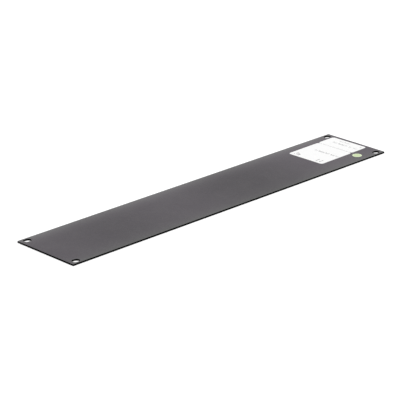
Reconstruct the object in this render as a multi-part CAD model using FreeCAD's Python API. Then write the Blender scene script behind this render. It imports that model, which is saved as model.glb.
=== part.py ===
import FreeCAD, Part
import math
import os

# Blanking panel for a 19 inch rack, two rack units high. It lies on its front face, and the rear
# face, which carries the labels, is up. The origin is the centre of the front face. +X runs along
# the panel to the labelled end, +Y across it, and +Z points out of the rear face. Millimetres.

# Rack grid that the panel closes
rail_pitch = 44.45  # height of one rack unit
units_filled = 2
height_relief = 0.8  # the panel is this much lower than the units it fills
rail_edge_to_hole = 6.35  # from the edge of those units to the nearest rail hole

# Steel sheet with its coating
panel_length = 482.6
sheet_thickness = 2.0
corner_radius = 0.5
edge_radius = 0.2  # the coating rounds the edges of both faces and of the slots

# Screw slots, which run along the panel
slot_length = 9.0
slot_width = 7.1
slot_to_end = 8.75  # from a slot's centre to the end of the panel

# Paper labels, two parts side by side
paper_thickness = 0.1
label_width = 51.5
large_label_length = 52.5
small_label_length = 26.8
label_corner_radius = 3.2
label_seam = 0.5  # between the two parts
label_end_margin = 4.6  # from the end of the panel to the small part
label_slot_margin = 3.6  # from the slots to the large part
label_step = 0.4  # the small part sits this much further back
label_turn = 0.8  # degrees, stuck on slightly askew

# Round sticker beside the seam
sticker_diameter = 11.2
sticker_label_gap = 4.1  # from the large part to the sticker
sticker_seam_offset = 1.2  # from the seam, away from the end of the panel

rail_height = units_filled * rail_pitch
panel_height = rail_height - height_relief
slot_column = panel_length / 2 - slot_to_end
slot_row = rail_height / 2 - rail_edge_to_hole
seam_x = panel_length / 2 - label_end_margin - small_label_length - label_seam / 2
label_y = slot_row - slot_width / 2 - label_slot_margin - label_width / 2


def vector(x, y, z=0.0):
    return FreeCAD.Vector(x, y, z)


def prism(edges, bottom, height):
    """Solid between the closed outline at z = bottom and the same outline moved up by height."""
    solid = Part.Face(Part.Wire(edges)).extrude(vector(0, 0, height))
    solid.translate(vector(0, 0, bottom))
    return solid


def quarter_arc(centre_x, centre_y, radius, start):
    """Quarter circle about a corner's centre, from start degrees."""
    circle = Part.Circle(vector(centre_x, centre_y), vector(0, 0, 1), radius)
    return circle, math.radians(start), math.radians(start + 90)


def rounded_rectangle(length, width, radius):
    """Edges of a rectangle about the origin, with its four corners rounded."""
    inner_x = length / 2 - radius
    inner_y = width / 2 - radius
    corners = [(1, 1, 0), (-1, 1, 90), (-1, -1, 180), (1, -1, 270)]
    arcs = []
    for side_x, side_y, start in corners:
        circle, first, last = quarter_arc(side_x * inner_x, side_y * inner_y, radius, start)
        arcs.append(circle.toShape(first, last))
    edges = []
    for arc, following in zip(arcs, arcs[1:] + arcs[:1]):
        edges.append(arc)
        edges.append(Part.makeLine(arc.lastVertex().Point, following.firstVertex().Point))
    return edges


def slot_outline(length, width):
    """Edges of a slot about the origin: two straight sides and two half-round ends."""
    radius = width / 2
    straight = length / 2 - radius
    right_end = Part.Arc(vector(straight, -radius), vector(length / 2, 0), vector(straight, radius))
    left_end = Part.Arc(vector(-straight, radius), vector(-length / 2, 0), vector(-straight, -radius))
    top = Part.makeLine(vector(straight, radius), vector(-straight, radius))
    bottom = Part.makeLine(vector(-straight, -radius), vector(straight, -radius))
    return [right_end.toShape(), top, left_end.toShape(), bottom]


def panel():
    """Sheet with a slot near each corner and rounded edges."""
    outline = rounded_rectangle(panel_length, panel_height, corner_radius)
    sheet = prism(outline, 0, sheet_thickness)
    for side_x in (-1, 1):
        for side_y in (-1, 1):
            slot = prism(slot_outline(slot_length, slot_width), 0, sheet_thickness)
            slot.translate(vector(side_x * slot_column, side_y * slot_row))
            sheet = sheet.cut(slot)
    face_edges = [edge for edge in sheet.Edges if edge.BoundBox.ZLength < edge_radius]
    return sheet.makeFillet(edge_radius, face_edges)


def label(length, side, step):
    """Paper part of the given length on the -X (-1) or +X (+1) side of the seam."""
    outline = rounded_rectangle(length, label_width, label_corner_radius)
    paper = prism(outline, sheet_thickness, paper_thickness)
    paper.translate(vector(side * (label_seam + length) / 2, step))
    paper.rotate(vector(0, 0), vector(0, 0, 1), label_turn)
    paper.translate(vector(seam_x, label_y))
    return paper


def sticker():
    """Round sticker just off the labels, at the seam."""
    radius = sticker_diameter / 2
    centre_x = seam_x - sticker_seam_offset
    centre_y = label_y - label_width / 2 - sticker_label_gap - radius
    return Part.makeCylinder(radius, paper_thickness, vector(centre_x, centre_y, sheet_thickness))


parts = {
    "panel": panel(),
    "large_label": label(large_label_length, -1, 0),
    "small_label": label(small_label_length, 1, label_step),
    "round_sticker": sticker(),
}
os.makedirs("parts", exist_ok=True)
for name, shape in parts.items():
    shape.exportStep(f"parts/{name}.step")
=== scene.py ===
import math

import bmesh
import bpy
from mathutils import Matrix, Vector


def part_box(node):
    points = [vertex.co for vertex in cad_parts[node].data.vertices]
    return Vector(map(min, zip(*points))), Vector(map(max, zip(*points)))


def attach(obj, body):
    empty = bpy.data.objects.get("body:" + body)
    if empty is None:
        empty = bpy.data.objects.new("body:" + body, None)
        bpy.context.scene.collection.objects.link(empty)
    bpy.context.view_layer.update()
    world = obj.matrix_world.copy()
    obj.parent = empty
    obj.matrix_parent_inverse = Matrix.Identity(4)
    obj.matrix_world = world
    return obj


# Looks of a two-unit blanking panel for a 19 inch rack. It lies on its front face, and its labels
# are up, at the +X end. Metres and degrees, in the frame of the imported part.
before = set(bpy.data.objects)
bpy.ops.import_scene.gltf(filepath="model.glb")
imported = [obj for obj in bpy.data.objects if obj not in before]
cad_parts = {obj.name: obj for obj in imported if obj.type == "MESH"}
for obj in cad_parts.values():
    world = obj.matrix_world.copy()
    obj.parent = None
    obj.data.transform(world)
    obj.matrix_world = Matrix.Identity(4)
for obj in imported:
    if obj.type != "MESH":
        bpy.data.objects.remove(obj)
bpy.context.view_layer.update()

MM = 0.001
WHITE = (1.0, 1.0, 1.0, 1.0)

# Camera: a long lens on the panel's upper face
CAMERA_AZIMUTH = -44.605
CAMERA_ELEVATION = 21.04
CAMERA_DISTANCE = 2.1993
CAMERA_TARGET_X = -0.02276
CAMERA_TARGET_Y = -0.00491
CAMERA_LENS = 180.9  # millimetres, on a sensor this wide
CAMERA_SENSOR = 36.0
CAMERA_NEAR = 0.05
CAMERA_FAR = 50.0

# Studio
FLOOR_SIZE = 12.0
FLOOR_DROP = 0.02 * MM  # below the panel's front face
FLOOR_GREY = 0.95
FLOOR_GLOW = 0.27  # added where the floor is seen, and it lights nothing
SKY_LIGHT = 0.77
SKY_SEEN = 1.0  # white behind the panel
SOFTBOX_POWER = 14.0  # watts
SOFTBOX_SIZE = 2.0
SOFTBOX_PLACE = (0.3, 0.3, 2.0)

# Every noise is between 0 and 1, about this middle
NOISE_MIDDLE = 0.5
NOISE_DETAIL = 2.0

# Powder coat: linear greys, and places along the panel in metres
COAT_TINT = (1.06, 0.87, 1.1)  # the black is a touch purple
COAT_TINT_PATCH = (1.03, 0.93, 1.04)  # less so in patches, and not where the sheen is painted at the long edges
COAT_GREY = 0.0525
COAT_ROUGHNESS = 0.5
COAT_ROUGHNESS_SPREAD = 0.15
COAT_SPECULAR = 0.25  # none on the cut edges, which carry painted shade
# painted shade: the cut edges are drawn near black
CUT_EDGE_PAINTED_SHADE = 0.003
CUT_EDGE_SHADE_SLOPE = (0.6, 0.99)  # upright part of the normal where the cut edge's painted shade gives way to the face
WAVE_GREY = 0.0078  # slow light and dark bands along the panel
WAVE_LENGTH = 0.195
WAVE_START = -0.099  # where a light band begins
FADE_PAINTED_LIGHT = 0.004  # and painted sheen that fades slowly from the paler bare end to the darker labels
FADE_PAINTED_LIGHT_REACH = (-0.19, 0.11)
BACK_EDGE_SHEEN = 0.077  # painted sheen: the coat is drawn paler toward the long edges
FRONT_EDGE_SHEEN = 0.027
EDGE_SHEEN_POWER = 4.0
LABEL_END_SHEEN = 0.04  # painted sheen also pales the coat toward the labelled end
LABEL_END_SHEEN_REACH = (0.095, 0.225)
MOTTLE_SIZE = 0.03
MOTTLE_GREY = 0.02
GRAIN_SIZE = 0.003
GRAIN_GREY = 0.018
PEEL_SIZE = 0.0008  # orange peel
PEEL_DEPTH = 0.0001

# Paper and ink: linear colours, and the paper's fibres in metres
PAPER_WHITE = (0.96, 0.96, 0.955)
PAPER_SHADE = (0.935, 0.935, 0.935)
STICKER_PALE = (0.73, 0.84, 0.56)
STICKER_SHADE = (0.69, 0.80, 0.52)
PAPER_ROUGHNESS = 0.6
FIBRE_SIZE = 0.0009
FIBRE_DETAIL = 4.0
FIBRE_DEPTH = 0.00001
INK_BLACK = (0.12, 0.12, 0.123)
INK_THIN = (0.3, 0.3, 0.3)  # where the paper shows through
FIELD_GREEN = (0.56, 0.685, 0.37)  # the sticker's print
FIELD_THIN = (0.59, 0.715, 0.40)
INK_ROUGHNESS = 0.45

# Print, in millimetres from the middle of its label, +U across the lines of print toward the end of
# the panel and +V along them toward the panel's back edge. It stands for writing with plain bars.
LABEL_TURN = 0.8
INK_THICKNESS = 0.02
BAR_PITCH = 1.5
BAR_HEIGHTS = (1.0, 0.7, 0.7, 0.95, 0.7, 0.75)  # shares of the line's height, in turn
BAR_ROUND = 0.2  # radius of a bar's corners
ROUND_STEPS = 4  # in each corner

# A line is its base along U, its height, and its words: first V, last V, share of ink
LARGE_LINES = [
    (3.6, 3.6, [(12.6, 8.0, 0.3), (6.6, -2.4, 0.45), (-3.2, -9.4, 0.4),
                (-11.4, -17.9, 0.4), (-19.0, -24.0, 0.32)]),
]
SMALL_LINES = [
    (-1.4, 3.6, [(14.8, 8.4, 0.3), (6.6, -2.9, 0.42), (-4.0, -7.4, 0.3),
                 (-9.4, -13.6, 0.3), (-16.7, -22.0, 0.25)]),
    (6.8, 2.8, [(11.0, 5.0, 0.3), (3.6, -5.4, 0.3), (-19.8, -23.2, 0.3)]),
]
# A block is its middle, U and V, and its lengths along them. The small part has none.
LARGE_BLOCKS = [
    (-21.7, 20.5, 1.8, 1.0), (-17.6, 19.4, 5.5, 0.7),
    (-19.6, 16.7, 5.5, 1.1), (-20.3, 14.2, 4.5, 1.2),
    (-19.4, -13.5, 7.4, 1.0), (-21.1, -18.4, 2.4, 1.5), (-17.4, -19.0, 3.2, 1.2),
]

# Round sticker: a printed field inside a pale rim, in millimetres
STICKER_RIM = 1.5
FIELD_STEPS = 64


def opaque(colour):
    return (*colour, 1.0)


def grey(level):
    return (level, level, level, 1.0)


class Shading:
    """One Principled material, with short forms for the nodes that it is made of."""

    def __init__(self, name, roughness):
        self.material = bpy.data.materials.new(name)
        self.material.use_nodes = True
        self.tree = self.material.node_tree
        self.shader = self.tree.nodes["Principled BSDF"]
        self.shader.inputs["Roughness"].default_value = roughness
        self.place = self.node("ShaderNodeTexCoord").outputs["Object"]

    def node(self, kind, **settings):
        node = self.tree.nodes.new(kind)
        for setting, value in settings.items():
            setattr(node, setting, value)
        return node

    def feed(self, socket, source):
        """Gives an input a number, a colour or another node's output."""
        if isinstance(source, bpy.types.NodeSocket):
            self.tree.links.new(source, socket)
        else:
            socket.default_value = source

    def math(self, operation, *sources):
        node = self.node("ShaderNodeMath", operation=operation)
        for socket, source in zip(node.inputs, sources):
            self.feed(socket, source)
        return node.outputs[0]

    def total(self, first, *others):
        for other in others:
            first = self.math("ADD", first, other)
        return first

    def ease(self, source, start, end, low=0.0, high=1.0):
        """Goes smoothly from low, where the source is at start, to high, where it is at end."""
        node = self.node("ShaderNodeMapRange", interpolation_type="SMOOTHSTEP")
        self.feed(node.inputs["Value"], source)
        limits = {"From Min": start, "From Max": end, "To Min": low, "To Max": high}
        for name, limit in limits.items():
            self.feed(node.inputs[name], limit)
        return node.outputs["Result"]

    def noise(self, size, detail=NOISE_DETAIL):
        """Noise with lumps of the given size."""
        node = self.node("ShaderNodeTexNoise")
        self.feed(node.inputs["Vector"], self.place)
        self.feed(node.inputs["Scale"], 1 / size)
        self.feed(node.inputs["Detail"], detail)
        return node.outputs["Fac"]

    def ripple(self, size, spread):
        """Noise about 0, that stays within half the spread."""
        centred = self.math("SUBTRACT", self.noise(size), NOISE_MIDDLE)
        return self.math("MULTIPLY", centred, spread)

    def mix(self, factor, first, second):
        node = self.node("ShaderNodeMix", data_type="RGBA")
        shown = [socket for socket in node.inputs if socket.enabled]
        for socket, source in zip(shown, (factor, first, second)):
            self.feed(socket, source)
        return [socket for socket in node.outputs if socket.enabled][0]

    def tinted(self, tint, level):
        node = self.node("ShaderNodeVectorMath", operation="SCALE")
        self.feed(node.inputs[0], tint)
        self.feed(node.inputs["Scale"], level)
        return node.outputs[0]

    def shine(self, level, usual):
        """Specular level that varies. The usual one stands wherever a varying one is dropped."""
        socket = self.shader.inputs["Specular IOR Level"]
        socket.default_value = usual
        self.feed(socket, level)

    def bump(self, height, depth):
        node = self.node("ShaderNodeBump")
        self.feed(node.inputs["Distance"], depth)
        self.feed(node.inputs["Height"], height)
        self.feed(self.shader.inputs["Normal"], node.outputs["Normal"])

    def split(self, source):
        node = self.node("ShaderNodeSeparateXYZ")
        self.feed(node.inputs[0], source)
        return node.outputs


def powder_coat():
    """Black powder coat, with painted shade that darkens the cut edges, and painted sheen that
    pales it toward the long edges and the ends.
    """
    coat = Shading("powder_coat", COAT_ROUGHNESS)
    along, across, _ = coat.split(coat.place)
    half_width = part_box("panel")[1].y

    angle = coat.math("MULTIPLY", coat.math("SUBTRACT", along, WAVE_START), math.tau / WAVE_LENGTH)
    # painted sheen: paler toward the long edges, most at the back
    reach = coat.math("ABSOLUTE", coat.math("DIVIDE", across, half_width))
    rim = coat.math("POWER", reach, EDGE_SHEEN_POWER)
    rim_sheen_grey = coat.ease(across, -half_width, half_width, FRONT_EDGE_SHEEN, BACK_EDGE_SHEEN)
    level = coat.total(
        coat.math("MULTIPLY", rim, rim_sheen_grey),
        coat.math("MULTIPLY", coat.math("SINE", angle), WAVE_GREY),
        # painted sheen, paler at the bare end and darker toward the labels
        coat.ease(along, *FADE_PAINTED_LIGHT_REACH, FADE_PAINTED_LIGHT, -FADE_PAINTED_LIGHT),
        # painted sheen toward the labelled end
        coat.ease(along, *LABEL_END_SHEEN_REACH, 0.0, LABEL_END_SHEEN),
        coat.ripple(MOTTLE_SIZE, MOTTLE_GREY),
        coat.ripple(GRAIN_SIZE, GRAIN_GREY),
        COAT_GREY,
    )
    patches = coat.mix(coat.noise(MOTTLE_SIZE), opaque(COAT_TINT), opaque(COAT_TINT_PATCH))
    # the painted sheen at the long edges is left untinted
    tint = coat.mix(rim, patches, WHITE)
    upright = coat.split(coat.node("ShaderNodeNewGeometry").outputs["Normal"])["Z"]
    # painted shade on the cut edges, wherever the normal turns level
    face_not_edge_shade = coat.ease(coat.math("ABSOLUTE", upright), *CUT_EDGE_SHADE_SLOPE)
    colour = coat.mix(face_not_edge_shade, grey(CUT_EDGE_PAINTED_SHADE), coat.tinted(tint, level))
    coat.feed(coat.shader.inputs["Base Color"], colour)
    coat.shine(coat.math("MULTIPLY", face_not_edge_shade, COAT_SPECULAR), COAT_SPECULAR)
    roughness = coat.total(coat.ripple(PEEL_SIZE, COAT_ROUGHNESS_SPREAD), COAT_ROUGHNESS)
    coat.feed(coat.shader.inputs["Roughness"], roughness)
    coat.bump(coat.noise(PEEL_SIZE), PEEL_DEPTH)
    return coat.material


def paper(name, colour, shade):
    """Uncoated paper with faint fibres."""
    sheet = Shading(name, PAPER_ROUGHNESS)
    fibres = sheet.noise(FIBRE_SIZE, FIBRE_DETAIL)
    sheet.feed(sheet.shader.inputs["Base Color"], sheet.mix(fibres, opaque(shade), opaque(colour)))
    sheet.bump(fibres, FIBRE_DEPTH)
    return sheet.material


def ink(name, colour, thin):
    """Print, a little uneven where the paper shows through."""
    film = Shading(name, INK_ROUGHNESS)
    fibres = film.noise(FIBRE_SIZE)
    film.feed(film.shader.inputs["Base Color"], film.mix(fibres, opaque(colour), opaque(thin)))
    film.bump(fibres, FIBRE_DEPTH)
    return film.material


def place_camera():
    azimuth = math.radians(CAMERA_AZIMUTH)
    elevation = math.radians(CAMERA_ELEVATION)
    away = Vector((math.sin(azimuth) * math.cos(elevation),
                   -math.cos(azimuth) * math.cos(elevation),
                   math.sin(elevation)))
    target = Vector((CAMERA_TARGET_X, CAMERA_TARGET_Y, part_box("panel")[1].z))
    lens = bpy.data.cameras.new("camera")
    lens.lens = CAMERA_LENS
    lens.sensor_width = CAMERA_SENSOR
    lens.clip_start = CAMERA_NEAR
    lens.clip_end = CAMERA_FAR
    camera = bpy.data.objects.new("camera", lens)
    camera.location = target + away * CAMERA_DISTANCE
    camera.rotation_mode = "QUATERNION"
    camera.rotation_quaternion = (-away).to_track_quat("-Z", "Y")
    bpy.context.scene.collection.objects.link(camera)
    bpy.context.scene.camera = camera


def seen_directly(tree):
    """1 for camera, glossy and transmission rays, and 0 for the rays that light things."""
    path = tree.nodes.new("ShaderNodeLightPath")
    seen = path.outputs["Is Camera Ray"]
    for ray in ("Is Glossy Ray", "Is Transmission Ray"):
        either = tree.nodes.new("ShaderNodeMath")
        either.operation = "MAXIMUM"
        tree.links.new(seen, either.inputs[0])
        tree.links.new(path.outputs[ray], either.inputs[1])
        seen = either.outputs[0]
    return seen


def between(tree, factor, low, high):
    """Number between low and high by a factor that is an output."""
    node = tree.nodes.new("ShaderNodeMapRange")
    node.inputs["To Min"].default_value = low
    node.inputs["To Max"].default_value = high
    tree.links.new(factor, node.inputs["Value"])
    return node.outputs["Result"]


def lay_floor():
    """White floor that keeps the panel's shadow."""
    mesh = bpy.data.meshes.new("floor")
    half = FLOOR_SIZE / 2
    corners = [(-half, -half), (half, -half), (half, half), (-half, half)]
    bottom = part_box("panel")[0].z - FLOOR_DROP
    mesh.from_pydata([(x, y, bottom) for x, y in corners], [], [range(len(corners))])
    floor = bpy.data.objects.new("floor", mesh)
    bpy.context.scene.collection.objects.link(floor)

    material = bpy.data.materials.new("floor")
    material.use_nodes = True
    tree = material.node_tree
    tree.nodes.clear()
    surface = tree.nodes.new("ShaderNodeBsdfDiffuse")
    surface.inputs["Color"].default_value = grey(FLOOR_GREY)
    glow = tree.nodes.new("ShaderNodeEmission")
    both = tree.nodes.new("ShaderNodeAddShader")
    output = tree.nodes.new("ShaderNodeOutputMaterial")
    tree.links.new(between(tree, seen_directly(tree), 0.0, FLOOR_GLOW), glow.inputs["Strength"])
    tree.links.new(surface.outputs[0], both.inputs[0])
    tree.links.new(glow.outputs[0], both.inputs[1])
    tree.links.new(both.outputs[0], output.inputs["Surface"])
    mesh.materials.append(material)


def light_studio():
    """Even sky, white where it is seen, and one large softbox overhead."""
    world = bpy.data.worlds.new("studio")
    bpy.context.scene.world = world
    world.use_nodes = True
    tree = world.node_tree
    tree.nodes.clear()
    sky = tree.nodes.new("ShaderNodeBackground")
    sky.inputs["Color"].default_value = WHITE
    output = tree.nodes.new("ShaderNodeOutputWorld")
    tree.links.new(between(tree, seen_directly(tree), SKY_LIGHT, SKY_SEEN), sky.inputs["Strength"])
    tree.links.new(sky.outputs[0], output.inputs["Surface"])

    softbox = bpy.data.lights.new("softbox", "AREA")
    softbox.shape = "SQUARE"
    softbox.size = SOFTBOX_SIZE
    softbox.energy = SOFTBOX_POWER
    lamp = bpy.data.objects.new("softbox", softbox)
    lamp.location = SOFTBOX_PLACE
    bpy.context.scene.collection.objects.link(lamp)


def rounded_outline(length_u, length_v, radius):
    """Points of a rounded rectangle about the origin."""
    inner_u = length_u / 2 - radius
    inner_v = length_v / 2 - radius
    corners = [(1, 1), (-1, 1), (-1, -1), (1, -1)]
    outline = []
    for quarter, (side_u, side_v) in enumerate(corners):
        for step in range(ROUND_STEPS + 1):
            turn = math.tau * (quarter + step / ROUND_STEPS) / len(corners)
            outline.append((side_u * inner_u + radius * math.cos(turn),
                            side_v * inner_v + radius * math.sin(turn)))
    return outline


def disc_outline(radius):
    turns = [math.tau * step / FIELD_STEPS for step in range(FIELD_STEPS)]
    return [(radius * math.cos(turn), radius * math.sin(turn)) for turn in turns]


class Print:
    """Ink on one label, as thin raised shapes in a single mesh."""

    def __init__(self, node):
        self.node = node
        self.mesh = bmesh.new()

    def shape(self, outline, middle_u=0.0, middle_v=0.0):
        """Adds a flat closed shape, given by its outline about its middle."""
        bottom = [self.mesh.verts.new((middle_u + u, middle_v + v, 0)) for u, v in outline]
        top = [self.mesh.verts.new((middle_u + u, middle_v + v, INK_THICKNESS)) for u, v in outline]
        self.mesh.faces.new(top)
        self.mesh.faces.new(reversed(bottom))
        for i in range(len(outline)):
            j = (i + 1) % len(outline)
            self.mesh.faces.new((bottom[i], bottom[j], top[j], top[i]))

    def block(self, middle_u, middle_v, length_u, length_v):
        """Adds a bar with rounded corners."""
        radius = min(BAR_ROUND, length_u / 2, length_v / 2)
        self.shape(rounded_outline(length_u, length_v, radius), middle_u, middle_v)

    def word(self, base, height, first, last, ink_share):
        """Adds bars on a line's base, about as many as a word of this length has letters."""
        count = round(abs(last - first) / BAR_PITCH)
        pitch = (last - first) / count
        for i in range(count):
            bar = height * BAR_HEIGHTS[i % len(BAR_HEIGHTS)]
            middle_v = first + pitch * i + pitch / 2
            self.block(base + bar / 2, middle_v, bar, abs(pitch) * ink_share)

    def place(self, name, material, slot, turn=0.0):
        """Lays the print on its label as one piece."""
        low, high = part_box(self.node)
        middle = (low + high) / 2
        spot = Matrix.Translation((middle.x, middle.y, high.z))
        turned = Matrix.Rotation(math.radians(turn), 4, "Z")
        self.mesh.transform(spot @ turned @ Matrix.Scale(MM, 4))
        mesh = bpy.data.meshes.new(name)
        self.mesh.to_mesh(mesh)
        self.mesh.free()
        mesh.materials.append(material)
        piece = bpy.data.objects.new(name, mesh)
        bpy.context.scene.collection.objects.link(piece)
        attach(piece, "root")


def print_label(node, material, lines, blocks=()):
    """Lines of words, and blocks, on one part of the paper label."""
    writing = Print(node)
    for base, height, words in lines:
        for first, last, ink_share in words:
            writing.word(base, height, first, last, ink_share)
    for block in blocks:
        writing.block(*block)
    writing.place(f"{node}_print", material, "label_paper", LABEL_TURN)


def print_sticker(node, material):
    """Round field that leaves the sticker's rim bare."""
    low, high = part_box(node)
    field = Print(node)
    field.shape(disc_outline((high.x - low.x) / 2 / MM - STICKER_RIM))
    field.place(f"{node}_print", material, "green_paper")


def dress(node, material):
    """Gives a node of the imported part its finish."""
    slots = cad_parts[node].data.materials
    slots.clear()
    slots.append(material)


place_camera()
lay_floor()
light_studio()

white_paper = paper("label_paper", PAPER_WHITE, PAPER_SHADE)
dress("panel", powder_coat())
dress("large_label", white_paper)
dress("small_label", white_paper)
dress("round_sticker", paper("green_paper", STICKER_PALE, STICKER_SHADE))

label_ink = ink("label_ink", INK_BLACK, INK_THIN)
print_label("large_label", label_ink, LARGE_LINES, LARGE_BLOCKS)
print_label("small_label", label_ink, SMALL_LINES)
print_sticker("round_sticker", ink("sticker_ink", FIELD_GREEN, FIELD_THIN))

bpy.context.scene.view_settings.view_transform = "Standard"
